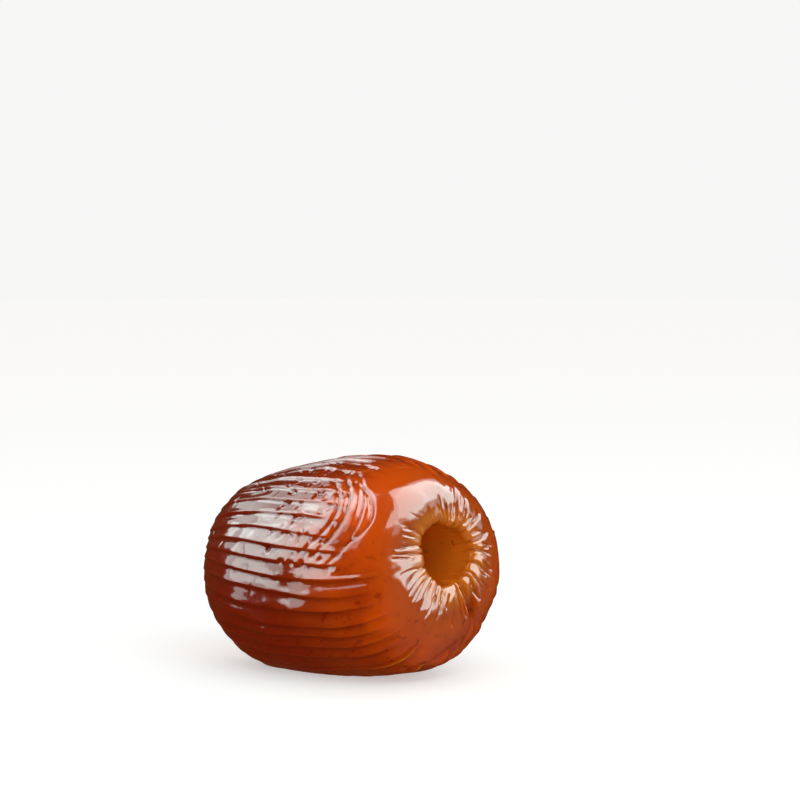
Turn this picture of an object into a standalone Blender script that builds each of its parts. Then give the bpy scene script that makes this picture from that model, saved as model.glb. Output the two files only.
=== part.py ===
# Candied date: one pitted jujube, scored lengthwise all round, boiled in syrup and dried.
# It lies on its side. The flesh is one piece, with the pit's hole punched through it from end to end.
import math
import random

import bpy
import numpy as np
from mathutils import Vector, noise

MM = 0.001

# Outline, along and across the fruit's own long axis. The blunt end points to +X.
BLUNT_HALF = 20.0 * MM  # from the widest girth to the blunt end
NARROW_HALF = 23.2 * MM  # from the widest girth to the narrow end
GIRTH_RADIUS = 15.3 * MM
BLUNT_POWER = 3.0  # 2 is an ellipse, and more is boxier
NARROW_POWER = 2.3
SIDE_SCALE = 1.02  # the fruit is a little wider than it is high
HEIGHT_SCALE = 0.985
BEND = 0.4 * MM  # how far the middle bows sideways
SAG = 0.9 * MM  # how far the middle hangs below the ends
AXIS_LIFT = math.radians(6.5)  # the blunt end lies higher than the narrow one

# Pit hole
MOUTH_RADIUS = 4.2 * MM  # at the blunt end
MIDDLE_RADIUS = 4.6 * MM  # the stone left a wider hollow between the two shrunken mouths
EXIT_RADIUS = 4.0 * MM  # at the narrow end
MOUTH_LOBES = ((2.0, 0.06, 0.9), (3.0, 0.05, -0.6), (7.0, 0.03, 0.0))  # lobes, share of the radius, phase
LOBED_FROM = (-5.0 * MM, -1.0 * MM)  # the lobes grow over this way up the hole's wall to the rim
LIP_RADIUS = 1.0 * MM  # how roundly the skin turns into the hole
DISH_DEPTH = 1.5 * MM  # how far each end sinks in round its hole
DISH_RADIUS = 11.0 * MM
BLUNT_RISE = 0.5 * MM  # how far above the fruit's axis the hole lies at each end
NARROW_RISE = 1.9 * MM
HOLE_ASIDE = 0.8 * MM  # how far to the side of the axis it lies
HOLE_PULL = (-1.0 * MM, 5.0 * MM)  # the skin follows the hole's place up to this far from the rim

# Knife cuts, from end to end all round
CUTS = 44
CUT_SPREAD = 0.2  # how far a cut strays from its even place, as a share of the distance between cuts
CUT_DEPTH = 0.45 * MM
CUT_DEPTHS = (0.6, 1.15)  # shallowest and deepest, as shares of that
CUT_HALF_WIDTH = 0.15  # as a share of the distance to the next cut
LAND_STEP = 0.16 * MM  # the strip between two cuts leans, so one edge stands proud
LAND_CROWN = 0.06 * MM
TWIST = 0.17  # radians that a cut turns round the fruit between its girth and an end
WANDER = (0.006, 0.02)  # radians that a cut swings to each side
WANDER_LENGTH = 6.0 * MM
BLUNT_STOP = (8.5 * MM, 13.0 * MM)  # the cuts stop this far from the rim of each hole
NARROW_STOP = (4.5 * MM, 8.0 * MM)
STOP_RUN = 3.5 * MM  # over which a cut dies out

# Puckers round each hole
FOLDS = 22
FOLD_SPREAD = 0.3
FOLD_DEPTH = 0.55 * MM
FOLD_DEPTHS = (0.5, 1.2)
FOLD_HALF_WIDTH = (0.05, 0.10)  # radians round the hole
FOLD_SWEEP = 0.16
FOLD_REACH = (3.0 * MM, 6.5 * MM)
FOLD_IN_HOLE = (-4.0 * MM, -0.5 * MM)  # a crease dies out over this way down the hole's wall
SMOOTH_CHEEK = math.radians(124)  # the side of the blunt end that dried smooth
CHEEK_SPREAD = 0.6
CHEEK_SHALLOWER = 0.8
CHEEK_SHORTER = 0.5
LONG_FOLD = math.radians(-64)  # one deep fold runs on past the puckers
LONG_FOLD_DEPTH = 0.9 * MM
LONG_FOLD_REACH = 9.0 * MM
LONG_FOLD_SWEEP = 0.2
LONG_FOLD_HALF_WIDTH = 0.12

# Lumps from drying, and the flat spot that it lies on
LUMP = 0.55 * MM
LUMP_SIZE = 11.0 * MM
DENT = 0.22 * MM
DENT_SIZE = 4.6 * MM
IN_HOLE_LUMPS = 0.2  # the hole's wall is this much as lumpy as the skin
LUMPS_FROM = (-2.0 * MM, 2.0 * MM)  # the lumps grow over this way across the rim
UNDER_BULGE = 1.1 * MM  # how far the underside stands out near both ends, where the soft fruit sagged
UNDER_PLACE = 14.5 * MM
UNDER_RUN = 5.5 * MM
UNDER_BLUNT_SHARE = 0.1  # the blunt end sagged this much as far as the narrow one
SIDE_BULGE = 0.8 * MM  # how far the blunt end stands out low on its far side
SIDE_TURN = math.radians(-44)
SIDE_EDGE = (0.4, 0.97)  # it grows between these cosines of the turn from its middle
UNDER_FROM = (1.0 * MM, 6.0 * MM)  # it grows over this way from the rim of each hole
FLAT_DEPTH = 1.15 * MM  # what resting has pressed off the round underside
FLAT_BLEND = 0.5 * MM
SEED = 7

# Mesh: rows along the outline and columns round it, three for each cut
LIP_ROWS = 3
SKIN_ROWS = 31
HOLE_ROWS = 5
COLUMN_SHARES = (0.0, CUT_HALF_WIDTH, 1.0 - CUT_HALF_WIDTH)

FLESH_COLOUR = (0.42, 0.075, 0.008, 1.0)
FLESH_ROUGHNESS = 0.12


def clear_scene():
    for thing in list(bpy.data.objects):
        bpy.data.objects.remove(thing, do_unlink=True)


def fade(value, start, stop):
    """Runs smoothly from 0 at start to 1 at stop."""
    share = np.clip((value - start) / (stop - start), 0.0, 1.0)
    return share * share * (3.0 - 2.0 * share)


def turn_between(angle, centre):
    """The angle from centre to angle, between -pi and pi."""
    return (angle - centre + math.pi) % (2.0 * math.pi) - math.pi


def skin_outline(angle):
    """x and radius of the skin, from the blunt pole at angle 0 to the narrow pole at pi."""
    blunt = np.cos(angle) > 0.0
    power = np.where(blunt, BLUNT_POWER, NARROW_POWER)
    half = np.where(blunt, BLUNT_HALF, NARROW_HALF)
    x = half * np.sign(np.cos(angle)) * np.abs(np.cos(angle)) ** (2.0 / power)
    radius = GIRTH_RADIUS * np.abs(np.sin(angle)) ** (2.0 / power)
    dish = DISH_DEPTH * (1.0 - fade(radius, 0.6 * MIDDLE_RADIUS, DISH_RADIUS))
    return x - np.sign(np.cos(angle)) * dish, radius


def lip_outline(side, hole_radius, steps):
    """The quarter turn from the skin into the hole, crest first, at the +1 or -1 end."""
    turn = np.linspace(0.0, math.pi / 2.0, steps)
    radius = hole_radius + LIP_RADIUS * (1.0 - np.sin(turn))
    half, power = (BLUNT_HALF, BLUNT_POWER) if side > 0 else (NARROW_HALF, NARROW_POWER)
    pole_angle = np.arcsin((radius / GIRTH_RADIUS) ** (power / 2.0))
    if side < 0:
        pole_angle = math.pi - pole_angle
    x, radius = skin_outline(pole_angle)
    return x - side * LIP_RADIUS * (1.0 - np.cos(turn)), radius


def whole_outline():
    """Points of the closed outline, blunt lip, skin, narrow lip, then hole, and where each stretch ends."""
    steps = 400
    blunt_x, blunt_radius = lip_outline(1.0, MOUTH_RADIUS, steps)
    narrow_x, narrow_radius = lip_outline(-1.0, EXIT_RADIUS, steps)
    start = math.asin((blunt_radius[0] / GIRTH_RADIUS) ** (BLUNT_POWER / 2.0))
    stop = math.pi - math.asin((narrow_radius[0] / GIRTH_RADIUS) ** (NARROW_POWER / 2.0))
    skin_x, skin_radius = skin_outline(np.linspace(start, stop, 8 * steps))
    hole_x = np.linspace(narrow_x[-1], blunt_x[-1], 2 * steps)
    share = (hole_x - hole_x[0]) / (hole_x[-1] - hole_x[0])
    straight = EXIT_RADIUS + (MOUTH_RADIUS - EXIT_RADIUS) * share
    waist = MIDDLE_RADIUS - 0.5 * (EXIT_RADIUS + MOUTH_RADIUS)
    hole_radius = straight + waist * np.sin(math.pi * share) ** 2
    stretches = (
        (blunt_x[::-1], blunt_radius[::-1]),
        (skin_x, skin_radius),
        (narrow_x, narrow_radius),
        (hole_x, hole_radius),
    )
    x = np.concatenate([stretch[0] for stretch in stretches])
    radius = np.concatenate([stretch[1] for stretch in stretches])
    length = np.concatenate([[0.0], np.cumsum(np.hypot(np.diff(x), np.diff(radius)))])
    ends = np.cumsum([len(stretch[0]) for stretch in stretches]) - 1
    return x, radius, length, length[ends]


def crowded(start, stop, count, crowd):
    """Count stations from start up to stop, which is left out, closer together near both."""
    share = np.arange(count) / count
    return start + (stop - start) * (share - crowd * np.sin(2.0 * math.pi * share) / (2.0 * math.pi))


def outline_rows():
    """For each row: x, radius, the outward normal's two parts, and the way along the skin from each lip's crest."""
    x, radius, length, (blunt_crest, narrow_crest, narrow_wall, blunt_wall) = whole_outline()
    rows = np.concatenate(
        [
            np.linspace(0.0, blunt_crest, LIP_ROWS, endpoint=False),
            crowded(blunt_crest, narrow_crest, SKIN_ROWS, 0.5),
            np.linspace(narrow_crest, narrow_wall, LIP_ROWS, endpoint=False),
            crowded(narrow_wall, blunt_wall, HOLE_ROWS, 0.3),
        ]
    )
    step = 0.05 * MM
    ahead, behind = rows + step, rows - step
    along_x = np.interp(ahead, length, x) - np.interp(behind, length, x)
    along_radius = np.interp(ahead, length, radius) - np.interp(behind, length, radius)
    size = np.hypot(along_x, along_radius)
    from_blunt = np.where(rows > 0.5 * (narrow_wall + blunt_wall), rows - blunt_wall, rows) - blunt_crest
    return {
        "x": np.interp(rows, length, x),
        "radius": np.interp(rows, length, radius),
        "normal_x": along_radius / size,
        "normal_radius": -along_x / size,
        "from_blunt": from_blunt,
        "from_narrow": narrow_crest - rows,
    }


def draw_cuts(dice):
    """Where each knife cut lies, how deep it is and how far it stops short of the holes."""
    cuts = []
    for number in range(CUTS):
        cuts.append(
            {
                "angle": 2.0 * math.pi * (number + dice.uniform(-CUT_SPREAD, CUT_SPREAD)) / CUTS,
                "depth": CUT_DEPTH * dice.uniform(*CUT_DEPTHS),
                "blunt_stop": dice.uniform(*BLUNT_STOP),
                "narrow_stop": dice.uniform(*NARROW_STOP),
                "wander": dice.uniform(*WANDER),
                "phase": dice.uniform(0.0, 2.0 * math.pi),
            }
        )
    return cuts


def draw_folds(dice, smooth_at):
    """The creases between the puckers round one hole. Those near smooth_at stay shallow."""
    folds = []
    for number in range(FOLDS):
        angle = 2.0 * math.pi * (number + dice.uniform(-FOLD_SPREAD, FOLD_SPREAD)) / FOLDS
        depth = FOLD_DEPTH * dice.uniform(*FOLD_DEPTHS)
        reach = dice.uniform(*FOLD_REACH)
        if smooth_at is not None:
            near = math.exp(-((turn_between(angle, smooth_at) / CHEEK_SPREAD) ** 2))
            depth *= 1.0 - CHEEK_SHALLOWER * near
            reach *= 1.0 - CHEEK_SHORTER * near
        folds.append(
            {
                "angle": angle,
                "depth": depth,
                "reach": reach,
                "half_width": dice.uniform(*FOLD_HALF_WIDTH),
                "sweep": dice.uniform(-FOLD_SWEEP, FOLD_SWEEP),
            }
        )
    return folds


def cut_relief(columns, from_blunt, from_narrow):
    """Depth of the cuts and height of the strips between them, for each row and column."""
    relief = np.zeros((len(from_blunt), len(columns)))
    for place, (cut, following, share) in enumerate(columns):
        nearest = cut if share < 0.5 else following
        if share == 0.0:
            height = -cut["depth"]
        else:
            height = LAND_STEP * (share - 0.5) + LAND_CROWN * 4.0 * share * (1.0 - share)
        begun = fade(from_blunt, nearest["blunt_stop"] - STOP_RUN, nearest["blunt_stop"])
        lasting = fade(from_narrow, nearest["narrow_stop"] - STOP_RUN, nearest["narrow_stop"])
        relief[:, place] = begun * lasting * height
    return relief


def fold_relief(folds, angles, distance):
    """Depth of the creases round one hole. Distance is from the lip's crest, and is negative inside the hole."""
    relief = np.zeros(angles.shape)
    out = distance[:, None]
    for fold in folds:
        swept = fold["angle"] + fold["sweep"] * np.clip(out / fold["reach"], 0.0, 1.0)
        crease = np.clip(1.0 - np.abs(turn_between(angles, swept)) / fold["half_width"], 0.0, 1.0) ** 1.2
        lasting = (1.0 - fade(out, 0.25 * fold["reach"], fold["reach"])) * fade(out, *FOLD_IN_HOLE)
        relief -= fold["depth"] * crease * lasting
    return relief


def lumps(points):
    """Broad lumps and smaller dents at each point."""
    relief = np.zeros(points.shape[:2])
    for row, column in np.ndindex(relief.shape):
        place = Vector(points[row, column])
        broad = noise.noise(place / LUMP_SIZE + Vector((3.1, 0.4, 7.7)))
        fine = noise.noise(place / DENT_SIZE + Vector((11.2, 5.8, 2.6)))
        relief[row, column] = LUMP * broad + DENT * fine
    return relief


def column_angles(x, columns):
    """Each column's angle round the fruit at each row, which wanders with the cuts beside it."""
    angles = np.zeros((len(x), len(columns)))
    for place, (cut, following, share) in enumerate(columns):
        here = cut["wander"] * np.sin(x / WANDER_LENGTH + cut["phase"])
        there = following["wander"] * np.sin(x / WANDER_LENGTH + following["phase"])
        width = (following["angle"] - cut["angle"]) % (2.0 * math.pi)
        angles[:, place] = cut["angle"] + share * width + here * (1.0 - share) + there * share
    return angles + TWIST * x[:, None] / BLUNT_HALF


def surface_relief(dice, rows, columns, angles, base):
    """How far each point stands out from the smooth fruit, with the cuts, creases and lumps together."""
    long_fold = {
        "angle": LONG_FOLD,
        "depth": LONG_FOLD_DEPTH,
        "reach": LONG_FOLD_REACH,
        "half_width": LONG_FOLD_HALF_WIDTH,
        "sweep": LONG_FOLD_SWEEP,
    }
    blunt_folds = draw_folds(dice, SMOOTH_CHEEK) + [long_fold]
    narrow_folds = draw_folds(dice, None)
    out = np.minimum(rows["from_blunt"], rows["from_narrow"])[:, None]
    lump_share = IN_HOLE_LUMPS + (1.0 - IN_HOLE_LUMPS) * fade(out, *LUMPS_FROM)
    height = cut_relief(columns, rows["from_blunt"], rows["from_narrow"])
    height += fold_relief(blunt_folds, angles, rows["from_blunt"])
    height += fold_relief(narrow_folds, angles, rows["from_narrow"])
    return height + lump_share * lumps(base)


def fuller_underside(x, angles):
    """How far the fruit stands out low down near both ends, where it sagged before it dried."""
    lower = fade(-np.sin(angles), 0.0, 0.9)
    near_end = np.exp(-(((np.abs(x) - UNDER_PLACE) / UNDER_RUN) ** 2))
    under = UNDER_BULGE * lower * np.where(x > 0.0, UNDER_BLUNT_SHARE, 1.0)
    side = SIDE_BULGE * fade(np.cos(angles - SIDE_TURN), *SIDE_EDGE) * (x > 0.0)
    return near_end * (under + side)


def bent_and_lifted(points, in_hole):
    """The straight fruit bent, sagged, its hole moved up and aside, and its blunt end lifted."""
    x, y, z = points[..., 0], points[..., 1], points[..., 2]
    arch = 1.0 - (x / BLUNT_HALF) ** 2
    along = (x + NARROW_HALF) / (BLUNT_HALF + NARROW_HALF)
    y = y * SIDE_SCALE + BEND * arch + HOLE_ASIDE * in_hole
    z = z * HEIGHT_SCALE - SAG * arch + (NARROW_RISE + (BLUNT_RISE - NARROW_RISE) * along) * in_hole
    lifted_x = x * math.cos(AXIS_LIFT) - z * math.sin(AXIS_LIFT)
    lifted_z = x * math.sin(AXIS_LIFT) + z * math.cos(AXIS_LIFT)
    return np.stack([lifted_x, y, lifted_z], axis=-1)


def fruit_points():
    """The points of the whole surface, row by row, lying on the ground and centred on it."""
    dice = random.Random(SEED)
    cuts = draw_cuts(dice)
    rows = outline_rows()
    columns = [
        (cuts[number], cuts[(number + 1) % CUTS], share) for number in range(CUTS) for share in COLUMN_SHARES
    ]
    angles = column_angles(rows["x"], columns)
    out = np.minimum(rows["from_blunt"], rows["from_narrow"])[:, None]
    in_hole = 1.0 - fade(out, *HOLE_PULL)
    near_mouth = in_hole * fade(out, *LOBED_FROM)
    lobes = sum(share * np.cos(count * angles + phase) for count, share, phase in MOUTH_LOBES)
    radius = rows["radius"][:, None] * (1.0 + near_mouth * lobes)
    x = np.broadcast_to(rows["x"][:, None], angles.shape)
    radius = radius + fuller_underside(x, angles) * fade(out, *UNDER_FROM)
    base = np.stack([x, radius * np.cos(angles), radius * np.sin(angles)], axis=-1)
    height = surface_relief(dice, rows, columns, angles, base)
    outward = height * rows["normal_radius"][:, None]
    relief = np.stack(
        [height * rows["normal_x"][:, None], outward * np.cos(angles), outward * np.sin(angles)], axis=-1
    )
    return settled(bent_and_lifted(base + relief, in_hole))


def settled(points):
    """The points with the underside pressed flat, moved so that they stand on z = 0, centred on the origin."""
    ground = points[..., 2].min() + FLAT_DEPTH
    share = np.clip((points[..., 2] - ground) / FLAT_BLEND, 0.0, None)
    eased = np.where(share < 1.0, share * share * (2.0 - share), share)
    points[..., 2] = FLAT_BLEND * eased
    middle = 0.5 * (points.min(axis=(0, 1)) + points.max(axis=(0, 1)))
    points[..., 0] -= middle[0]
    points[..., 1] -= middle[1]
    return points


def flesh_material():
    material = bpy.data.materials.new("syrup_soaked_flesh")
    material.use_nodes = True
    shader = material.node_tree.nodes["Principled BSDF"]
    shader.inputs["Base Color"].default_value = FLESH_COLOUR
    shader.inputs["Roughness"].default_value = FLESH_ROUGHNESS
    shader.inputs["Metallic"].default_value = 0.0
    return material


def build_date():
    """One closed surface: the rows join end to end through the hole, and the columns join round the fruit."""
    points = fruit_points()
    row_count, column_count = points.shape[:2]
    faces = []
    for row in range(row_count):
        next_row = (row + 1) % row_count
        for column in range(column_count):
            next_column = (column + 1) % column_count
            faces.append(
                (
                    row * column_count + column,
                    next_row * column_count + column,
                    next_row * column_count + next_column,
                    row * column_count + next_column,
                )
            )
    mesh = bpy.data.meshes.new("candied_date")
    mesh.from_pydata(points.reshape(-1, 3).tolist(), [], faces)
    mesh.validate()
    mesh.shade_smooth()
    mesh.materials.append(flesh_material())
    date = bpy.data.objects.new("candied_date", mesh)
    bpy.context.scene.collection.objects.link(date)
    return date


clear_scene()
build_date()
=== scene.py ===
import math
import random

import bpy
import numpy as np
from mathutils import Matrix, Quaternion, Vector, noise


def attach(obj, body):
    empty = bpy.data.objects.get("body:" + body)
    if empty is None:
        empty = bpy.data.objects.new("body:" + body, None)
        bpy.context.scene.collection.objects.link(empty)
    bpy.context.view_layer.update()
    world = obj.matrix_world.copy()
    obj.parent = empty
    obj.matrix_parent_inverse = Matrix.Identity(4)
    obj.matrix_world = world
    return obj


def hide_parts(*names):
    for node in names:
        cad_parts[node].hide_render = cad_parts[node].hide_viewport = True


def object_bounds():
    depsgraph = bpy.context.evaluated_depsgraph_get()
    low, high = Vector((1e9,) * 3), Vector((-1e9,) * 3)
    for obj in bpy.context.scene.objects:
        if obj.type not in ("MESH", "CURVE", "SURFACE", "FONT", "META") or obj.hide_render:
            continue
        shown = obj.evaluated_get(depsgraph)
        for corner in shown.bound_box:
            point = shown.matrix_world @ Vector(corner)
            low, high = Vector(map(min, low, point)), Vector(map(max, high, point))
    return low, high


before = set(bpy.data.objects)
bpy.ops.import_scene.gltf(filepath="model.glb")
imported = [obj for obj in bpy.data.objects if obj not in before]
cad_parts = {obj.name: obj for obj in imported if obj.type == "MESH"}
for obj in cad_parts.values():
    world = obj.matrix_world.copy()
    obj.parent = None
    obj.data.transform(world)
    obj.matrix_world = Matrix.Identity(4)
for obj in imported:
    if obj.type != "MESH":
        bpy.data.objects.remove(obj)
cad_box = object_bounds()


# Candied date
# One whole jujube, skin and flesh in one. It was scored with a rake of blades from end to end, boiled in
# syrup until the flesh turned clear amber, and dried, so that the strips between the cuts shrank into flat
# glossy slats and both ends puckered round the hole that the pit was punched out through.

# Outline, along and across the fruit's own long axis. The blunt end points to +X.
MM = 0.001
BLUNT_HALF = 20.0 * MM  # from the widest girth to the blunt end
NARROW_HALF = 23.2 * MM  # from the widest girth to the narrow end
GIRTH_RADIUS = 15.3 * MM
BLUNT_POWER = 3.0  # 2 is an ellipse, and more is boxier
NARROW_POWER = 2.3
MOUTH_RADIUS = 4.2 * MM  # of the hole at the blunt end
MIDDLE_RADIUS = 4.6 * MM  # the pit left a wider hollow between the two shrunken mouths
EXIT_RADIUS = 4.0 * MM  # of the hole at the narrow end
LIP_RADIUS = 1.0 * MM  # how roundly the skin turns into the hole
DISH_DEPTH = 1.5 * MM  # how far each end sinks in round its hole
DISH_RADII = (0.6 * MIDDLE_RADIUS, 11.0 * MM)  # where the dish is deepest, and where it ends

# Rows of points along that outline
OUTLINE_STEPS = 400
LIP_ROWS = 9
SKIN_ROWS = 214
SKIN_CROWD = 1.2  # 1 spaces the rows evenly, and more crowds them toward the blunt end
HOLE_ROWS = 20


def fade(value, start, stop):
    """Runs smoothly from 0 at start to 1 at stop."""
    share = np.clip((value - start) / (stop - start), 0.0, 1.0)
    return share * share * (3.0 - 2.0 * share)


def skin_outline(angle):
    """x and radius of the skin, from the blunt pole at angle 0 to the narrow pole at pi."""
    blunt = np.cos(angle) > 0.0
    power = np.where(blunt, BLUNT_POWER, NARROW_POWER)
    half = np.where(blunt, BLUNT_HALF, NARROW_HALF)
    x = half * np.sign(np.cos(angle)) * np.abs(np.cos(angle)) ** (2.0 / power)
    radius = GIRTH_RADIUS * np.abs(np.sin(angle)) ** (2.0 / power)
    dish = DISH_DEPTH * (1.0 - fade(radius, *DISH_RADII))
    return x - np.sign(np.cos(angle)) * dish, radius


def lip_outline(side, hole_radius, steps):
    """The quarter turn from the skin into the hole, crest first, at the +1 or -1 end."""
    turn = np.linspace(0.0, math.pi / 2.0, steps)
    radius = hole_radius + LIP_RADIUS * (1.0 - np.sin(turn))
    half, power = (BLUNT_HALF, BLUNT_POWER) if side > 0 else (NARROW_HALF, NARROW_POWER)
    pole_angle = np.arcsin((radius / GIRTH_RADIUS) ** (power / 2.0))
    if side < 0:
        pole_angle = math.pi - pole_angle
    x, radius = skin_outline(pole_angle)
    return x - side * LIP_RADIUS * (1.0 - np.cos(turn)), radius


def whole_outline():
    """Points of the closed outline, blunt lip, skin, narrow lip, then hole, and where each stretch ends."""
    blunt_x, blunt_radius = lip_outline(1.0, MOUTH_RADIUS, OUTLINE_STEPS)
    narrow_x, narrow_radius = lip_outline(-1.0, EXIT_RADIUS, OUTLINE_STEPS)
    start = math.asin((blunt_radius[0] / GIRTH_RADIUS) ** (BLUNT_POWER / 2.0))
    stop = math.pi - math.asin((narrow_radius[0] / GIRTH_RADIUS) ** (NARROW_POWER / 2.0))
    skin_x, skin_radius = skin_outline(np.linspace(start, stop, 8 * OUTLINE_STEPS))
    hole_x = np.linspace(narrow_x[-1], blunt_x[-1], 2 * OUTLINE_STEPS)
    share = (hole_x - hole_x[0]) / (hole_x[-1] - hole_x[0])
    straight = EXIT_RADIUS + (MOUTH_RADIUS - EXIT_RADIUS) * share
    waist = MIDDLE_RADIUS - 0.5 * (EXIT_RADIUS + MOUTH_RADIUS)
    hole_radius = straight + waist * np.sin(math.pi * share) ** 2
    stretches = (
        (blunt_x[::-1], blunt_radius[::-1]),
        (skin_x, skin_radius),
        (narrow_x, narrow_radius),
        (hole_x, hole_radius),
    )
    x = np.concatenate([stretch[0] for stretch in stretches])
    radius = np.concatenate([stretch[1] for stretch in stretches])
    length = np.concatenate([[0.0], np.cumsum(np.hypot(np.diff(x), np.diff(radius)))])
    ends = np.cumsum([len(stretch[0]) for stretch in stretches]) - 1
    return x, radius, length, length[ends]


def crowded(start, stop, count, power):
    """Count stations from start up to stop, which is left out, closer together near start."""
    return start + (stop - start) * (np.arange(count) / count) ** power


def outline_rows():
    """For each row: x, radius, the outward normal's two parts, and the way along the skin from each rim.
    from_blunt is below 0 in the near half of the hole, and from_narrow in all of it."""
    x, radius, length, (blunt_crest, narrow_crest, narrow_wall, blunt_wall) = whole_outline()
    rows = np.concatenate(
        [
            np.linspace(0.0, blunt_crest, LIP_ROWS, endpoint=False),
            crowded(blunt_crest, narrow_crest, SKIN_ROWS, SKIN_CROWD),
            np.linspace(narrow_crest, narrow_wall, LIP_ROWS, endpoint=False),
            np.linspace(narrow_wall, blunt_wall, HOLE_ROWS, endpoint=False),
        ]
    )
    step = 0.05 * MM
    ahead, behind = rows + step, rows - step
    along_x = np.interp(ahead, length, x) - np.interp(behind, length, x)
    along_radius = np.interp(ahead, length, radius) - np.interp(behind, length, radius)
    size = np.hypot(along_x, along_radius)
    nearer_blunt = rows > 0.5 * (narrow_wall + blunt_wall)
    return {
        "x": np.interp(rows, length, x),
        "radius": np.interp(rows, length, radius),
        "normal_x": along_radius / size,
        "normal_radius": -along_x / size,
        "from_blunt": np.where(nearer_blunt, rows - blunt_wall, rows) - blunt_crest,
        "from_narrow": narrow_crest - rows,
    }


# Knife cuts, from end to end all round
SEED = 7  # of all the random draws, so that each run gives the same fruit
CUTS = 44
CUT_SPREAD = 0.2  # how far a cut strays from its even place, as a share of the distance between cuts
CUT_DEPTH = 0.37 * MM
CUT_DEPTHS = (0.7, 1.15)  # shallowest and deepest, as shares of that
CALM_TURN = math.radians(118)  # the cuts are shallower on this side
CALM_SPREAD = 0.5
CALM_SHALLOWER = 0.5
TWIST = 0.17  # radians that a cut turns round the fruit between its girth and an end
WANDER = (0.006, 0.02)  # radians that a cut swings to each side
WANDER_LENGTH = 6.0 * MM
WAVER = (0.85, 0.25)  # a cut's depth swings about this share of it, by that share
WAVER_LENGTH = 2.6 * MM
WAVER_SHIFT = 3.0  # keeps the depth from swinging in step with the wander
BLUNT_STOP = (8.5 * MM, 13.0 * MM)  # the cuts stop this far from the blunt rim
SHOULDER = (math.radians(88), math.radians(174))  # between these turns they stop farther from it
SHOULDER_STOP = (13.5 * MM, 16.5 * MM)
NARROW_STOP = (4.5 * MM, 8.0 * MM)  # and they stop this far from the narrow rim
STOP_RUN = 3.5 * MM  # over which a cut dies out
THIN_SHARE = 0.35  # by the narrow end a cut has this share of its depth
THIN_RUN = (4.0 * MM, 18.0 * MM)  # and it deepens over this way from that rim
GROOVE_SHADE_SUNK = (0.4, 1.0)  # the material paints shade into what is sunk by these shares of a cut's depth
GROOVE_SHADE_START = (9.0 * MM, 13.0 * MM)  # away from the rims

# Across a slat, from its cut to the next: the share of the way, and the height in depths of the cut
SLAT_PROFILE = (
    (0.0, -0.6),
    (0.08, -0.92),
    (0.17, -1.0),
    (0.30, -0.82),
    (0.44, -0.55),
    (0.58, -0.25),
    (0.73, 0.08),
    (0.86, 0.33),
    (0.93, 0.42),
)


def turn_between(angle, centre):
    """The angle from centre to angle, between -pi and pi."""
    return (angle - centre + math.pi) % (2.0 * math.pi) - math.pi


def nearness(angle, centre, spread):
    """1 at the centre, falling away over the spread to both sides."""
    return np.exp(-((turn_between(angle, centre) / spread) ** 2))


def draw_cuts(dice):
    """Where each knife cut lies, how deep it is and how far it stops short of the holes."""
    cuts = []
    for number in range(CUTS):
        angle = 2.0 * math.pi * (number + dice.uniform(-CUT_SPREAD, CUT_SPREAD)) / CUTS
        stops = SHOULDER_STOP if SHOULDER[0] < angle < SHOULDER[1] else BLUNT_STOP
        calm = 1.0 - CALM_SHALLOWER * nearness(angle, CALM_TURN, CALM_SPREAD)
        cuts.append(
            {
                "angle": angle,
                "depth": CUT_DEPTH * calm * dice.uniform(*CUT_DEPTHS),
                "blunt_stop": dice.uniform(*stops),
                "narrow_stop": dice.uniform(*NARROW_STOP),
                "wander": dice.uniform(*WANDER),
                "phase": dice.uniform(0.0, 2.0 * math.pi),
            }
        )
    return cuts


def slat_columns(cuts):
    """The columns of points round the fruit: for each, the cuts beside it and its place in the profile."""
    return [
        {"cut": cuts[number], "next_cut": cuts[(number + 1) % CUTS], "share": share, "height": height}
        for number in range(CUTS)
        for share, height in SLAT_PROFILE
    ]


def column_angles(x, columns):
    """Each column's angle round the fruit at each row, which wanders with the cuts beside it."""
    angles = np.zeros((len(x), len(columns)))
    for place, column in enumerate(columns):
        cut, following, share = column["cut"], column["next_cut"], column["share"]
        here = cut["wander"] * np.sin(x / WANDER_LENGTH + cut["phase"])
        there = following["wander"] * np.sin(x / WANDER_LENGTH + following["phase"])
        width = (following["angle"] - cut["angle"]) % (2.0 * math.pi)
        angles[:, place] = cut["angle"] + share * width + here * (1.0 - share) + there * share
    return angles + TWIST * x[:, None] / BLUNT_HALF


def cut_relief(columns, rows):
    """Depth of the cuts and height of the slats between them, for each row and column."""
    relief = np.zeros((len(rows["x"]), len(columns)))
    thinning = THIN_SHARE + (1.0 - THIN_SHARE) * fade(rows["from_narrow"], *THIN_RUN)
    for place, column in enumerate(columns):
        cut = column["cut"] if column["share"] < 0.5 else column["next_cut"]
        begun = fade(rows["from_blunt"], cut["blunt_stop"] - STOP_RUN, cut["blunt_stop"])
        lasting = fade(rows["from_narrow"], cut["narrow_stop"] - STOP_RUN, cut["narrow_stop"])
        waver = WAVER[0] + WAVER[1] * np.sin(rows["x"] / WAVER_LENGTH + WAVER_SHIFT * cut["phase"])
        relief[:, place] = begun * lasting * thinning * cut["depth"] * waver * column["height"]
    return relief


def groove_shade_mark(columns, out):
    """Up to 1 along the bottom of each cut and 0 on the slats, where the material paints shade into the
    cuts.
    """
    sunk = np.array([-column["height"] for column in columns])
    return fade(sunk, *GROOVE_SHADE_SUNK)[None, :] * fade(out, *GROOVE_SHADE_START)


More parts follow.
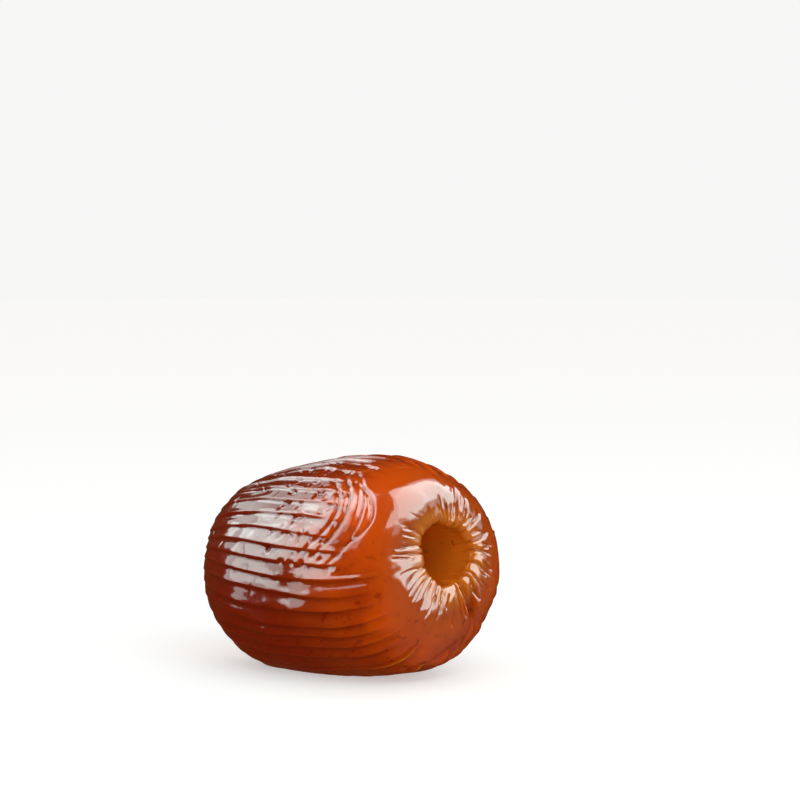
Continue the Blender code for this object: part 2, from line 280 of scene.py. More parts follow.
# Puckers round each hole
FOLDS = 22
FOLD_SPREAD = 0.3
FOLD_DEPTH = 0.55 * MM
FOLD_DEPTHS = (0.5, 1.2)
FOLD_HALF_WIDTH = (0.05, 0.10)  # radians round the hole
FOLD_SHARPNESS = 1.8  # 1 is a plain V, and more is a narrower crease
FOLD_SWEEP = 0.16  # radians that a crease leans aside on its way out
FOLD_REACH = (3.0 * MM, 6.5 * MM)
FOLD_FULL = 0.25  # a crease keeps its depth over this share of its reach
FOLD_IN_HOLE = (-4.0 * MM, -0.5 * MM)  # and dies out over this way down the hole's wall
SMOOTH_CHEEK = math.radians(124)  # the side of the blunt end that dried smooth
CHEEK_SPREAD = 0.6
CHEEK_SHALLOWER = 0.8
CHEEK_SHORTER = 0.5

# One deep fold under the blunt hole, which runs on past the puckers
LONG_FOLD = {
    "angle": math.radians(-64),
    "depth": 1.2 * MM,
    "reach": 9.0 * MM,
    "half_width": 0.16,
    "sweep": 0.2,
}


def draw_folds(dice, smooth_at):
    """The creases between the puckers round one hole. Those near smooth_at stay shallow and short."""
    folds = []
    for number in range(FOLDS):
        angle = 2.0 * math.pi * (number + dice.uniform(-FOLD_SPREAD, FOLD_SPREAD)) / FOLDS
        depth = FOLD_DEPTH * dice.uniform(*FOLD_DEPTHS)
        reach = dice.uniform(*FOLD_REACH)
        if smooth_at is not None:
            near = nearness(angle, smooth_at, CHEEK_SPREAD)
            depth *= 1.0 - CHEEK_SHALLOWER * near
            reach *= 1.0 - CHEEK_SHORTER * near
        folds.append(
            {
                "angle": angle,
                "depth": depth,
                "reach": reach,
                "half_width": dice.uniform(*FOLD_HALF_WIDTH),
                "sweep": dice.uniform(-FOLD_SWEEP, FOLD_SWEEP),
            }
        )
    return folds


def fold_relief(folds, angles, distance):
    """Depth of the creases round one hole. Distance is from the lip's crest, and below 0 in the hole."""
    relief = np.zeros(angles.shape)
    out = distance[:, None]
    for fold in folds:
        swept = fold["angle"] + fold["sweep"] * np.clip(out / fold["reach"], 0.0, 1.0)
        crease = np.clip(1.0 - np.abs(turn_between(angles, swept)) / fold["half_width"], 0.0, 1.0)
        lasting = 1.0 - fade(out, FOLD_FULL * fold["reach"], fold["reach"])
        relief -= fold["depth"] * crease**FOLD_SHARPNESS * lasting * fade(out, *FOLD_IN_HOLE)
    return relief


# Lumps and dents from drying, and the waves and the crepe of the dried skin. Each reads the noise at its
# own place, which its shift gives.
LUMP = 0.55 * MM
LUMP_SIZE = 11.0 * MM
LUMP_SHIFT = (3.1, 0.4, 7.7)
DENT = 0.22 * MM
DENT_SIZE = 4.6 * MM
DENT_SHIFT = (11.2, 5.8, 2.6)
IN_HOLE_LUMPS = 0.2  # the hole's wall is this much as lumpy as the skin
LUMPS_FROM = (-2.0 * MM, 2.0 * MM)  # the lumps grow over this way across the rim
WAVE = 0.05 * MM
WAVE_SIZE = (4.0 * MM, 2.8 * MM, 2.8 * MM)
WAVE_SHIFT = (0.3, 5.2, 9.9)
CREPE = 0.013 * MM
CREPE_SIZE = 0.9 * MM
CREPE_SHIFT = (1.7, 9.3, 4.4)
CREPE_FROM = (0.0, 3.0 * MM)  # the waves and the crepe grow over this way from the rim


def wrinkle(points, size, shift):
    """Smooth noise from about -1 to 1 at each point. The size is one for all axes, or one for each."""
    relief = np.zeros(points.shape[:2])
    scaled = points / np.array(size) + np.array(shift)
    for row, column in np.ndindex(relief.shape):
        relief[row, column] = noise.noise(Vector(scaled[row, column]))
    return relief


def lump_relief(base, out):
    """Lumps, dents, waves and crepe together."""
    lumpy = IN_HOLE_LUMPS + (1.0 - IN_HOLE_LUMPS) * fade(out, *LUMPS_FROM)
    relief = lumpy * LUMP * wrinkle(base, LUMP_SIZE, LUMP_SHIFT)
    relief += lumpy * DENT * wrinkle(base, DENT_SIZE, DENT_SHIFT)
    on_skin = fade(out, *CREPE_FROM)
    relief += on_skin * WAVE * wrinkle(base, WAVE_SIZE, WAVE_SHIFT)
    return relief + on_skin * CREPE * wrinkle(base, CREPE_SIZE, CREPE_SHIFT)


# Curved wrinkles on the shoulder, where the slats meet the smooth cheek
SHOULDER_WRINKLES = 4
SHOULDER_START = 12.2 * MM  # from the blunt rim to the first
SHOULDER_GAP = 1.7 * MM
SHOULDER_SPREAD = 0.2  # how far each strays from its even place, as a share of the gap
SHOULDER_TURN = (math.radians(122), math.radians(172))  # where each starts and stops round the fruit
TURN_SPREAD = 0.1  # radians that its two ends stray
SHOULDER_DRIFT = 0.2 * MM  # it stops this much farther from the rim than it starts
SHOULDER_BOW = 4.2 * MM  # and its middle lies this much nearer to it
SHOULDER_DEPTH = (0.45 * MM, 0.6 * MM)
SHOULDER_HALF_WIDTH = 0.26 * MM

# Two folds low on the blunt end: where each starts and stops, its depth and its half width
END_FOLDS = (
    ((0.3 * MM, math.radians(-53)), (7.2 * MM, math.radians(-68)), 0.95 * MM, 0.42 * MM),
    ((6.5 * MM, math.radians(-80)), (12.5 * MM, math.radians(-104)), 0.45 * MM, 0.45 * MM),
)
END_FOLD_BOW = 0.4 * MM

# Small wrinkles that stray across the slats
STRAY_WRINKLES = 90
STRAY_PLACE = (8.0 * MM, 42.0 * MM)  # from the blunt rim
STRAY_LEAN = (0.5, 1.5)  # radians from lengthwise, to either side
STRAY_LENGTH = (1.2 * MM, 3.0 * MM)
STRAY_DEPTH = (0.05 * MM, 0.16 * MM)
STRAY_HALF_WIDTH = (0.15 * MM, 0.3 * MM)


def furrow(rows, angles, start, stop, depth, half_width, bow=0.0):
    """A wrinkle from start to stop, each the way from the blunt rim and the turn round the fruit."""
    middle = 0.5 * (start[0] + stop[0])
    along = rows["from_blunt"][:, None] - middle
    across = rows["radius"][:, None] * turn_between(angles, 0.5 * (start[1] + stop[1]))
    outside = slice(-HOLE_ROWS)
    girth = np.interp(middle, rows["from_blunt"][outside], rows["radius"][outside])
    run = np.array([stop[0] - start[0], girth * (stop[1] - start[1])])
    length = np.hypot(*run)
    run = run / length
    place = along * run[0] + across * run[1]
    aside = across * run[0] - along * run[1] - bow * (1.0 - (2.0 * place / length) ** 2)
    ends = np.clip(1.0 - (2.0 * np.abs(place) / length) ** 4, 0.0, 1.0)
    return -depth * ends * np.exp(-((aside / half_width) ** 2))


def shoulder_relief(dice, rows, angles):
    relief = np.zeros(angles.shape)
    for number in range(SHOULDER_WRINKLES):
        near = SHOULDER_START + SHOULDER_GAP * (number + dice.uniform(-SHOULDER_SPREAD, SHOULDER_SPREAD))
        start = (near, SHOULDER_TURN[0] + dice.uniform(-TURN_SPREAD, TURN_SPREAD))
        stop = (near + SHOULDER_DRIFT, SHOULDER_TURN[1] + dice.uniform(-TURN_SPREAD, TURN_SPREAD))
        depth = dice.uniform(*SHOULDER_DEPTH)
        relief += furrow(rows, angles, start, stop, depth, SHOULDER_HALF_WIDTH, SHOULDER_BOW)
    return relief


def stray_relief(dice, rows, angles):
    relief = np.zeros(angles.shape)
    for _ in range(STRAY_WRINKLES):
        start = (dice.uniform(*STRAY_PLACE), dice.uniform(0.0, 2.0 * math.pi))
        lean = dice.choice((-1.0, 1.0)) * dice.uniform(*STRAY_LEAN)
        length = dice.uniform(*STRAY_LENGTH)
        stop = (start[0] + length * math.cos(lean), start[1] + length * math.sin(lean) / GIRTH_RADIUS)
        depth = dice.uniform(*STRAY_DEPTH)
        relief += furrow(rows, angles, start, stop, depth, dice.uniform(*STRAY_HALF_WIDTH))
    return relief


def wrinkle_relief(rows, angles):
    """The wrinkles of the shoulder, the two low folds and the stray wrinkles."""
    dice = random.Random(SEED + 1)
    relief = shoulder_relief(dice, rows, angles)
    for start, stop, depth, half_width in END_FOLDS:
        relief += furrow(rows, angles, start, stop, depth, half_width, END_FOLD_BOW)
    return relief + stray_relief(dice, rows, angles)


# Teeth and pits, where the drying skin tore along the upper edges of the slats
TEETH = (2, 5)  # fewest and most on a slat
TOOTH_PLACE = (12.0 * MM, 25.0 * MM)  # from the blunt rim
TOOTH_HALF_WIDTH = (0.4 * MM, 0.9 * MM)
TOOTH_REACH = (0.45, 0.85)  # how far down the slat a notch runs to its point, as a share
TOOTH_DEPTH = (0.16 * MM, 0.34 * MM)
TOOTH_LEAN = 0.5 * MM  # away from the blunt end on its way down
TOOTH_STEEPNESS = 1.5  # 1 is a plain V, and more has a flat bottom
LEAST_WIDTH = 0.001 * MM  # keeps a notch wider than nothing past its point
PIT_DEPTH = 0.30 * MM
PIT_SIZE = (1.2 * MM, 0.8 * MM, 0.8 * MM)
PIT_SHIFT = (8.3, 1.4, 6.6)
PIT_EDGE = (0.3, 0.55)  # a pit sinks between these heights of the noise
PITS_START = (11.0 * MM, 14.0 * MM)  # from the blunt rim
PITS_STOP = (23.0 * MM, 28.0 * MM)
TORN_SIDE = math.radians(143)  # the skin tore on this side of the fruit and on the one opposite
TORN_EDGE = (0.72, 0.9)  # cosines of the turn from there, between which the tearing fades


def draw_notches(dice):
    """For each notch in a slat: its place, half width, reach and depth."""
    return [
        (
            dice.uniform(*TOOTH_PLACE),
            dice.uniform(*TOOTH_HALF_WIDTH),
            dice.uniform(*TOOTH_REACH),
            dice.uniform(*TOOTH_DEPTH),
        )
        for _ in range(dice.randint(*TEETH))
    ]


def tooth_relief(columns, rows):
    """The notches between the teeth. Each starts at a slat's upper edge and narrows down the slat."""
    dice = random.Random(SEED + 3)
    relief = np.zeros((len(rows["x"]), len(columns)))
    notches = []
    for place, column in enumerate(columns):
        share = column["share"]
        if share == 0.0:
            notches = draw_notches(dice)
        for near, half_width, reach, depth in notches:
            width = half_width * np.clip(1.0 - share / reach, 0.0, 1.0) + LEAST_WIDTH
            aside = np.abs(rows["from_blunt"] - near - TOOTH_LEAN * share)
            relief[:, place] -= depth * np.clip(TOOTH_STEEPNESS * (1.0 - aside / width), 0.0, 1.0)
    return relief


def torn_relief(columns, rows, angles, base):
    """Teeth and pits together, on the sides where the skin tore."""
    zone = fade(rows["from_blunt"], *PITS_START) * (1.0 - fade(rows["from_blunt"], *PITS_STOP))
    pits = fade(wrinkle(base, PIT_SIZE, PIT_SHIFT), *PIT_EDGE)
    torn = fade(np.abs(np.cos(angles - TORN_SIDE)), *TORN_EDGE)
    return (tooth_relief(columns, rows) - PIT_DEPTH * pits * zone[:, None]) * torn


# Slits between the puckers of the blunt end, and a fine crumple round both holes
SLITS = 30
SLIT_SPREAD = 0.3
SLIT_START = (-0.5 * MM, 2.4 * MM)  # from the rim
SLIT_LENGTH = (1.8 * MM, 3.4 * MM)
SLIT_LEAN = 0.08  # radians round the hole
SLIT_DEPTH = (0.2 * MM, 0.45 * MM)
SLIT_HALF_WIDTH = (0.10 * MM, 0.17 * MM)
SLIT_BOW = 0.2 * MM
SLIT_CALM = 0.9  # how much shallower they are on the smooth cheek, as a share
CRUMPLE = 0.05 * MM
CRUMPLE_SIZE = 1.0 * MM
CRUMPLE_SHIFT = (6.1, 2.2, 8.8)
CRUMPLE_IN_HOLE = (-2.5 * MM, 0.0)  # it dies out over this way down the hole's wall
CRUMPLE_STOP = (3.0 * MM, 7.0 * MM)  # and over this way from the rim
CRUMPLE_CALM = 0.85


def slit_relief(rows, angles):
    """Short cracks that point at the blunt hole."""
    dice = random.Random(SEED + 2)
    relief = np.zeros(angles.shape)
    for number in range(SLITS):
        turn = 2.0 * math.pi * (number + dice.uniform(-SLIT_SPREAD, SLIT_SPREAD)) / SLITS
        near = dice.uniform(*SLIT_START)
        length = dice.uniform(*SLIT_LENGTH)
        stop = (near + length, turn + dice.uniform(-SLIT_LEAN, SLIT_LEAN))
        rough = 1.0 - SLIT_CALM * nearness(turn, SMOOTH_CHEEK, CHEEK_SPREAD)
        depth = rough * dice.uniform(*SLIT_DEPTH)
        half_width = dice.uniform(*SLIT_HALF_WIDTH)
        relief += furrow(
            rows, angles, (near, turn), stop, depth, half_width, dice.uniform(-SLIT_BOW, SLIT_BOW)
        )
    return relief


def crumple_relief(angles, base, out):
    near = fade(out, *CRUMPLE_IN_HOLE) * (1.0 - fade(out, *CRUMPLE_STOP))
    rough = 1.0 - CRUMPLE_CALM * nearness(angles, SMOOTH_CHEEK, CHEEK_SPREAD)
    return near * rough * CRUMPLE * wrinkle(base, CRUMPLE_SIZE, CRUMPLE_SHIFT)


def surface_relief(dice, rows, columns, angles, base, out):
    """How far each point stands out from the smooth fruit, with all its relief together."""
    blunt_folds = draw_folds(dice, SMOOTH_CHEEK) + [LONG_FOLD]
    narrow_folds = draw_folds(dice, None)
    height = cut_relief(columns, rows)
    height += fold_relief(blunt_folds, angles, rows["from_blunt"])
    height += fold_relief(narrow_folds, angles, rows["from_narrow"])
    height += lump_relief(base, out)
    height += torn_relief(columns, rows, angles, base)
    height += wrinkle_relief(rows, angles)
    height += slit_relief(rows, angles)
    return height + crumple_relief(angles, base, out)


# How the soft fruit sagged as it lay, and the flat spot that it rests on
SIDE_SCALE = 1.02  # the fruit is a little wider than it is high
HEIGHT_SCALE = 0.985
BEND = 0.4 * MM  # how far the middle bows sideways
SAG = 0.9 * MM  # how far the middle hangs below the ends
AXIS_LIFT = math.radians(6.5)  # the blunt end lies higher than the narrow one
BLUNT_RISE = 0.5 * MM  # how far above the fruit's axis the hole lies at each end
NARROW_RISE = 1.9 * MM
HOLE_ASIDE = 0.8 * MM  # how far to the side of the axis it lies
HOLE_PULL = (-1.0 * MM, 5.0 * MM)  # the skin follows the hole's place up to this far from the rim
MOUTH_LOBES = ((2.0, 0.06, 0.9), (3.0, 0.05, -0.6), (7.0, 0.03, 0.0))  # lobes, share of the radius, phase
LOBED_FROM = (-5.0 * MM, -1.0 * MM)  # the lobes grow over this way up the hole's wall to the rim
UNDER_BULGE = 1.1 * MM  # how far the underside stands out near both ends
UNDER_EDGE = (0.0, 0.9)  # it grows between these sines of the turn below the axis
UNDER_PLACE = 14.5 * MM
UNDER_RUN = 5.5 * MM
UNDER_BLUNT_SHARE = 0.1  # the blunt end sagged this much as far as the narrow one
UNDER_FROM = (1.0 * MM, 6.0 * MM)  # it grows over this way from the rim of each hole
SIDE_BULGE = 0.8 * MM  # how far the blunt end stands out low on its far side
SIDE_TURN = math.radians(-44)
SIDE_EDGE = (0.4, 0.97)  # it grows between these cosines of the turn from its middle
FLAT_DEPTH = 1.15 * MM  # what resting has pressed off the round underside
FLAT_BLEND = 0.5 * MM
PRESSED_RUN = 3.0 * MM  # the relief is pressed shallower up to this far above the flat spot
PRESSED_SHARE = 0.3  # and has this share of its height at the spot itself


def fuller_underside(x, angles):
    """How far the fruit stands out low down near both ends."""
    lower = fade(-np.sin(angles), *UNDER_EDGE)
    near_end = np.exp(-(((np.abs(x) - UNDER_PLACE) / UNDER_RUN) ** 2))
    under = UNDER_BULGE * lower * np.where(x > 0.0, UNDER_BLUNT_SHARE, 1.0)
    side = SIDE_BULGE * fade(np.cos(angles - SIDE_TURN), *SIDE_EDGE) * (x > 0.0)
    return near_end * (under + side)


def bent_and_lifted(points, in_hole):
    """The straight fruit bent, sagged, its hole moved up and aside, and its blunt end lifted."""
    x, y, z = points[..., 0], points[..., 1], points[..., 2]
    arch = 1.0 - (x / BLUNT_HALF) ** 2
    along = (x + NARROW_HALF) / (BLUNT_HALF + NARROW_HALF)
    y = y * SIDE_SCALE + BEND * arch + HOLE_ASIDE * in_hole
    z = z * HEIGHT_SCALE - SAG * arch + (NARROW_RISE + (BLUNT_RISE - NARROW_RISE) * along) * in_hole
    lifted_x = x * math.cos(AXIS_LIFT) - z * math.sin(AXIS_LIFT)
    lifted_z = x * math.sin(AXIS_LIFT) + z * math.cos(AXIS_LIFT)
    return np.stack([lifted_x, y, lifted_z], axis=-1)


def settled(points):
    """The points with the underside pressed flat, standing on z = 0 and centred on the origin."""
    ground = points[..., 2].min() + FLAT_DEPTH
    share = np.clip((points[..., 2] - ground) / FLAT_BLEND, 0.0, None)
    eased = np.where(share < 1.0, share * share * (2.0 - share), share)
    points[..., 2] = FLAT_BLEND * eased
    middle = 0.5 * (points.min(axis=(0, 1)) + points.max(axis=(0, 1)))
    points[..., 0] -= middle[0]
    points[..., 1] -= middle[1]
    return points


def pressed_share(base, in_hole):
    """The share of its height that the relief keeps, which is least where the fruit lies on it."""
    level = bent_and_lifted(base, in_hole)[..., 2]
    free = fade(level - level.min(), FLAT_DEPTH, FLAT_DEPTH + PRESSED_RUN)
    return PRESSED_SHARE + (1.0 - PRESSED_SHARE) * free


def fruit_points():
    """The points of the whole surface, row by row, and the marks that the material reads at each."""
    dice = random.Random(SEED)
    columns = slat_columns(draw_cuts(dice))
    rows = outline_rows()
    angles = column_angles(rows["x"], columns)
    out = np.minimum(rows["from_blunt"], rows["from_narrow"])[:, None]
    in_hole = 1.0 - fade(out, *HOLE_PULL)
    near_mouth = in_hole * fade(out, *LOBED_FROM)
    lobes = sum(share * np.cos(count * angles + phase) for count, share, phase in MOUTH_LOBES)
    radius = rows["radius"][:, None] * (1.0 + near_mouth * lobes)
    x = np.broadcast_to(rows["x"][:, None], angles.shape)
    radius = radius + fuller_underside(x, angles) * fade(out, *UNDER_FROM)
    base = np.stack([x, radius * np.cos(angles), radius * np.sin(angles)], axis=-1)
    height = surface_relief(dice, rows, columns, angles, base, out) * pressed_share(base, in_hole)
    outward = height * rows["normal_radius"][:, None]
    relief = np.stack(
        [height * rows["normal_x"][:, None], outward * np.cos(angles), outward * np.sin(angles)], axis=-1
    )
    marks = {
        "groove_shade": groove_shade_mark(columns, out),
        "from_blunt": np.broadcast_to(rows["from_blunt"][:, None] / MM, angles.shape),
        "from_narrow": np.broadcast_to(rows["from_narrow"][:, None] / MM, angles.shape),
    }
    return settled(bent_and_lifted(base + relief, in_hole)), marks


# Flesh: clear amber by the blunt hole and redder toward the far end, under a coat of syrup.
# Painted shade darkens the cuts and the flesh round the blunt hole, and painted glow brightens that hole's
# rim and inner wall
AMBER = (0.66, 0.078, 0.001, 1.0)
RED_BROWN = (0.26, 0.014, 0.001, 1.0)
HONEY_SHADE = (0.35, 0.056, 0.002, 1.0)  # round the blunt hole: painted shade that darkens the flesh where the body light falls strongly, a little yellower
LIP_GLOW = (0.50, 0.125, 0.006, 1.0)  # its rim: painted glow, for the light that comes through the thin flesh there
HOLE_GLOW = (0.78, 0.20, 0.010, 1.0)  # painted glow on the wall inside it, growing down the hole against the shade that deepens there
DARK_SPECK = (0.16, 0.006, 0.001, 1.0)
FLESH = {
    "Subsurface Weight": 0.8,
    "Subsurface Radius": (1.0, 0.50, 0.25),
    "Subsurface Scale": 3.0 * MM,
    "Roughness": 0.16,
    "IOR": 1.52,
    "Specular IOR Level": 0.25,
    "Coat Weight": 1.0,
    "Coat Roughness": 0.035,
    "Coat IOR": 1.52,
}

# Where each colour starts and is full, in millimetres from the rim of the blunt or the narrow hole
REDDER = (8.0, 27.0)
HONEY_SHADE_RUN = (9.0, 1.0)
FAR_AMBER_RUN = (8.0, 1.0)
LIP_GLOW_RUN = (2.8, 0.2)
HOLE_GLOW_RUN = (0.0, -4.0)

# Clouds in the flesh, dark specks in patches, and pores in the skin
CLOUDS = {"Scale": 110.0, "Detail": 4.0}
CLOUD_EDGE = (0.42, 0.75)
CLOUD_STRENGTH = 0.6
SPECKS = {"Scale": 900.0, "Detail": 2.0}
SPECK_EDGE = (0.60, 0.70)
SPECK_PATCH_EDGE = (0.40, 0.60)
SPECK_STRENGTH = 0.5
# How strongly the painted shade darkens the cuts
GROOVE_SHADE_STRENGTH = 0.45
PORES = {"Scale": 1400.0, "Detail": 3.0}
PORE_STRENGTH = 0.25
PORE_DEPTH = 0.08 * MM


def joined(tree, node_type, inputs, **settings):
    """A new shader node with its settings made and its inputs set or linked, by name or number."""
    node = tree.nodes.new(node_type)
    for name, value in settings.items():
        setattr(node, name, value)
    for key, value in inputs.items():
        if isinstance(value, bpy.types.NodeSocket):
            tree.links.new(value, node.inputs[key])
        else:
            node.inputs[key].default_value = value
    return node


def mixed(tree, factor, first, second):
    """The first colour, or the second where the factor is 1."""
    return joined(tree, "ShaderNodeMix", {0: factor, 6: first, 7: second}, data_type="RGBA").outputs[2]


def ranged(tree, value, low, high):
    """Value mapped smoothly to 0 at low and 1 at high."""
    inputs = {"Value": value, "From Min": low, "From Max": high}
    return joined(tree, "ShaderNodeMapRange", inputs, interpolation_type="SMOOTHSTEP").outputs["Result"]


def product(tree, first, second):
    return joined(tree, "ShaderNodeMath", {0: first, 1: second}, operation="MULTIPLY").outputs[0]


def mark(tree, name):
    return joined(tree, "ShaderNodeAttribute", {}, attribute_name=name).outputs["Fac"]


def flesh_noise(tree, kind):
    """One of the kinds of noise above, fixed to the fruit."""
    place = joined(tree, "ShaderNodeTexCoord", {}).outputs["Object"]
    return joined(tree, "ShaderNodeTexNoise", {"Vector": place, **kind}).outputs["Fac"]


def flesh_colour(tree):
    """Amber with each layer laid over the ones before it, as thickly as its share says."""
    from_blunt = mark(tree, "from_blunt")
    from_narrow = mark(tree, "from_narrow")
    clouds = flesh_noise(tree, CLOUDS)
    cloudy = ranged(tree, clouds, *CLOUD_EDGE)
    specks = ranged(tree, flesh_noise(tree, SPECKS), *SPECK_EDGE)
    speck_patches = product(tree, specks, ranged(tree, clouds, *SPECK_PATCH_EDGE))
    layers = (
        (ranged(tree, from_blunt, *REDDER), RED_BROWN),
        (product(tree, cloudy, CLOUD_STRENGTH), RED_BROWN),
        # painted shade round the blunt hole
        (ranged(tree, from_blunt, *HONEY_SHADE_RUN), HONEY_SHADE),
        (ranged(tree, from_narrow, *FAR_AMBER_RUN), AMBER),
        # painted glow on the rim of the blunt hole
        (ranged(tree, from_blunt, *LIP_GLOW_RUN), LIP_GLOW),
        # painted glow on the wall inside the hole
        (ranged(tree, from_blunt, *HOLE_GLOW_RUN), HOLE_GLOW),
        (product(tree, speck_patches, SPECK_STRENGTH), DARK_SPECK),
        # painted shade in the bottoms of the cuts
        (product(tree, mark(tree, "groove_shade"), GROOVE_SHADE_STRENGTH), RED_BROWN),
    )
    colour = AMBER
    for share, layer in layers:
        colour = mixed(tree, share, colour, layer)
    return colour


def flesh_material():
    material = bpy.data.materials.new("syrup_soaked_flesh")
    material.use_nodes = True
    tree = material.node_tree
    shader = tree.nodes["Principled BSDF"]
    for name, value in FLESH.items():
        shader.inputs[name].default_value = value
    tree.links.new(flesh_colour(tree), shader.inputs["Base Color"])
    pores = {"Height": flesh_noise(tree, PORES), "Strength": PORE_STRENGTH, "Distance": PORE_DEPTH}
    bump = joined(tree, "ShaderNodeBump", pores)
    tree.links.new(bump.outputs["Normal"], shader.inputs["Normal"])
    return material


def build_date():
    """One closed surface: the rows join up through the hole, and the columns join up round the fruit."""
    points, marks = fruit_points()
    row_count, column_count = points.shape[:2]
    numbers = np.arange(row_count * column_count).reshape(row_count, column_count)
    next_row = np.roll(numbers, -1, axis=0)
    next_both = np.roll(next_row, -1, axis=1)
    next_column = np.roll(numbers, -1, axis=1)
    faces = np.stack([numbers, next_row, next_both, next_column], axis=-1).reshape(-1, 4)
    mesh = bpy.data.meshes.new("candied_date_flesh")
    mesh.from_pydata(points.reshape(-1, 3).tolist(), [], faces.tolist())
    mesh.shade_smooth()
    for name, values in marks.items():
        attribute = mesh.attributes.new(name, "FLOAT", "POINT")
        attribute.data.foreach_set("value", values.astype(np.float32).ravel())
    mesh.materials.append(flesh_material())
    date = bpy.data.objects.new("candied_date_flesh", mesh)
    bpy.context.scene.collection.objects.link(date)
    return date


date = build_date()
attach(date, "root")
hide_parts("candied_date")


# Floor
# A plain pale ground that the fruit lies on. It glows a little and keeps out of the gloss and the bounced
# light, so that it looks white and leaves the fruit's own lighting alone.
FLOOR_HALF = 6.0
FLOOR_COLOUR = (0.80, 0.80, 0.79, 1.0)
FLOOR_ROUGHNESS = 0.7
FLOOR_GLOW = 0.42
WHITE = (1.0, 1.0, 1.0, 1.0)


def floor_material():
    material = bpy.data.materials.new("pale_floor")
    material.use_nodes = True
    shader = material.node_tree.nodes["Principled BSDF"]
    shader.inputs["Base Color"].default_value = FLOOR_COLOUR
    shader.inputs["Roughness"].default_value = FLOOR_ROUGHNESS
    shader.inputs["Specular IOR Level"].default_value = 0.0
    shader.inputs["Emission Color"].default_value = WHITE
    shader.inputs["Emission Strength"].default_value = FLOOR_GLOW
    return material


floor_mesh = bpy.data.meshes.new("floor")
floor_corners = [(x * FLOOR_HALF, y * FLOOR_HALF, 0.0) for x, y in ((-1, -1), (1, -1), (1, 1), (-1, 1))]
floor_mesh.from_pydata(floor_corners, [], [(0, 1, 2, 3)])
floor_mesh.materials.append(floor_material())
floor = bpy.data.objects.new("floor", floor_mesh)
floor.visible_glossy = False
floor.visible_diffuse = False
floor.visible_shadow = False
bpy.context.scene.collection.objects.link(floor)


# Camera
# It stands where the photograph was taken from, a little above the fruit and about halfway between its side
# and its blunt end.
AZIMUTH = math.radians(46.5)
ELEVATION = math.radians(7.1)
LENS = 100.0
SENSOR = 36.0
CLIP_START = 0.01
PICTURE = 800.0  # pixels to each side
PIXEL_SIZE = 0.139 * MM  # of a pixel where the fruit lies
CENTRE_PIXEL = (344.8, 559.6)  # where the middle of the fruit shows

middle = Vector((0.0, 0.0, 0.5 * (cad_box[0].z + cad_box[1].z)))
back = Vector(
    (math.sin(AZIMUTH) * math.cos(ELEVATION), -math.cos(AZIMUTH) * math.cos(ELEVATION), math.sin(ELEVATION))
)
right = Vector((math.cos(AZIMUTH), math.sin(AZIMUTH), 0.0))
up = back.cross(right)

camera_data = bpy.data.cameras.new("camera")
camera_data.lens = LENS
camera_data.sensor_width = SENSOR
camera_data.clip_start = CLIP_START
camera = bpy.data.objects.new("camera", camera_data)
bpy.context.scene.collection.objects.link(camera)
distance = PICTURE * PIXEL_SIZE * LENS / SENSOR
aim_right = (0.5 * PICTURE - CENTRE_PIXEL[0]) * PIXEL_SIZE
aim_up = (CENTRE_PIXEL[1] - 0.5 * PICTURE) * PIXEL_SIZE
aim = middle + right * aim_right + up * aim_up
camera.location = middle + back * distance
camera.rotation_mode = "QUATERNION"
camera.rotation_quaternion = (aim - camera.location).to_track_quat("-Z", "Y")
bpy.context.scene.camera = camera


# Light
# Two broad windows, to the left and to the right, each with a brighter core, and two small ones on the left
# make the wet glare. One soft light in front of the fruit lights the flesh itself.
LIGHT_COLOUR = (0.82, 1.0, 0.98)


def as_seen(where):
    """A direction or a way that is given as right, up and back toward the camera."""
    return right * where[0] + up * where[1] + back * where[2]


def soft_light(name, where, size, power, roll=0.0, on_flesh=False):
    """A soft box that faces the fruit, at where from it as the camera sees it, rolled by that many degrees.
    It shows in the gloss alone, or with on_flesh it lights the flesh alone."""
    data = bpy.data.lights.new(name, "AREA")
    data.shape = "RECTANGLE"
    data.size, data.size_y = size
    data.energy = power
    data.color = LIGHT_COLOUR
    light = bpy.data.objects.new(name, data)
    light.visible_camera = False
    light.visible_glossy = not on_flesh
    light.visible_diffuse = on_flesh
    bpy.context.scene.collection.objects.link(light)
    light.location = middle + as_seen(where)
    light.rotation_mode = "QUATERNION"
    turned = Quaternion((0.0, 0.0, 1.0), math.radians(roll))
    light.rotation_quaternion = (middle - light.location).to_track_quat("-Z", "Y") @ turned


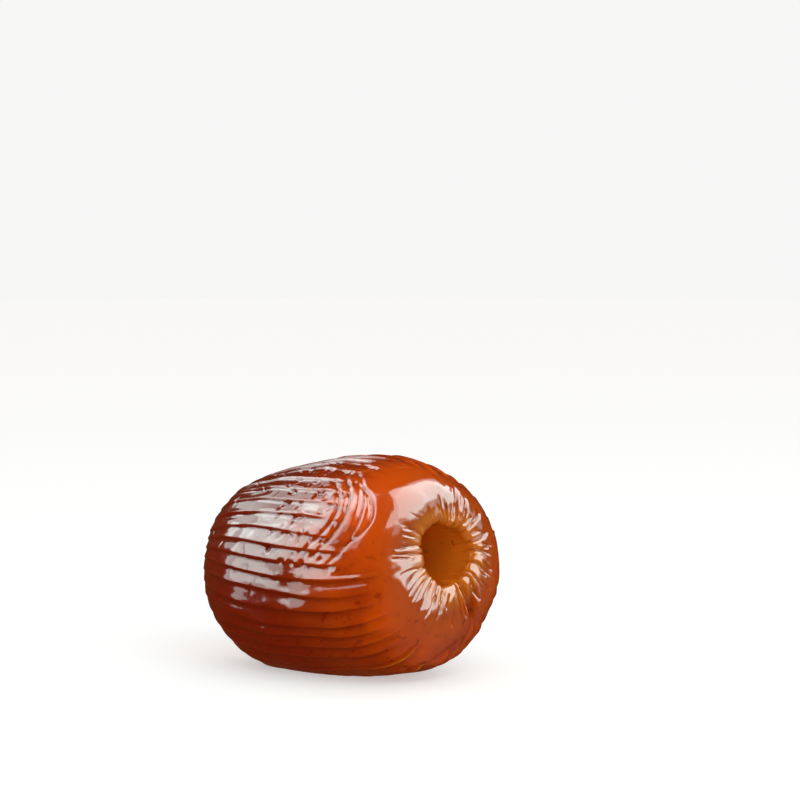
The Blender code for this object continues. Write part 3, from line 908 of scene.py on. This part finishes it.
soft_light("left_window", (-0.405, 0.290, 0.048), (0.66, 0.80), power=3.7, roll=-50.0)
soft_light("left_window_core", (-0.392, 0.300, 0.080), (0.54, 0.56), power=2.2, roll=-46.0)
soft_light("left_window_corner", (-0.200, 0.420, 0.176), (0.22, 0.20), power=0.42)
soft_light("left_back_window", (-0.298, 0.280, -0.288), (0.28, 0.22), power=0.25)
soft_light("right_window", (0.385, 0.305, 0.110), (0.74, 0.76), power=3.0, roll=-24.0)
soft_light("right_window_core", (0.339, 0.335, 0.151), (0.80, 0.66), power=7.4, roll=-42.0)
soft_light("body_light", (0.22, 0.11, 0.45), (0.60, 0.60), power=2.2, on_flesh=True)


# Surroundings
# The camera sees a pale backdrop behind the fruit. The flesh gets a soft fill that is dimmer from below,
# and the gloss reflects a dark warm room with a soft sheen low on the right.
BACKDROP = (0.93, 0.93, 0.925, 1.0)
HIGH_FILL = (0.66, 0.65, 0.64, 1.0)
LOW_FILL = (0.36, 0.34, 0.32, 1.0)
FILL_RUN = (-0.5, 0.3)  # the fill grows from low to high between these heights of the direction
DARK_ROOM = (0.110, 0.028, 0.010, 1.0)
SHEEN = (0.17, 0.17, 0.16, 1.0)
SHEEN_FROM = (0.75, -0.60, 0.25)
SHEEN_RUN = (0.35, 1.0)  # cosines of the angle from there, between which the sheen grows


def surroundings():
    world = bpy.data.worlds.new("studio")
    world.use_nodes = True
    tree = world.node_tree
    ray = joined(tree, "ShaderNodeLightPath", {}).outputs
    direction = joined(tree, "ShaderNodeTexCoord", {}).outputs["Generated"]
    height = joined(tree, "ShaderNodeSeparateXYZ", {0: direction}).outputs["Z"]
    fill = mixed(tree, ranged(tree, height, *FILL_RUN), LOW_FILL, HIGH_FILL)
    ways = {0: direction, 1: as_seen(SHEEN_FROM).normalized()}
    toward = joined(tree, "ShaderNodeVectorMath", ways, operation="DOT_PRODUCT").outputs["Value"]
    gloss = mixed(tree, ranged(tree, toward, *SHEEN_RUN), DARK_ROOM, SHEEN)
    lit = mixed(tree, ray["Is Glossy Ray"], fill, gloss)
    seen = mixed(tree, ray["Is Camera Ray"], lit, BACKDROP)
    tree.links.new(seen, tree.nodes["Background"].inputs["Color"])
    return world


bpy.context.scene.world = surroundings()
bpy.context.scene.view_settings.view_transform = "Standard"
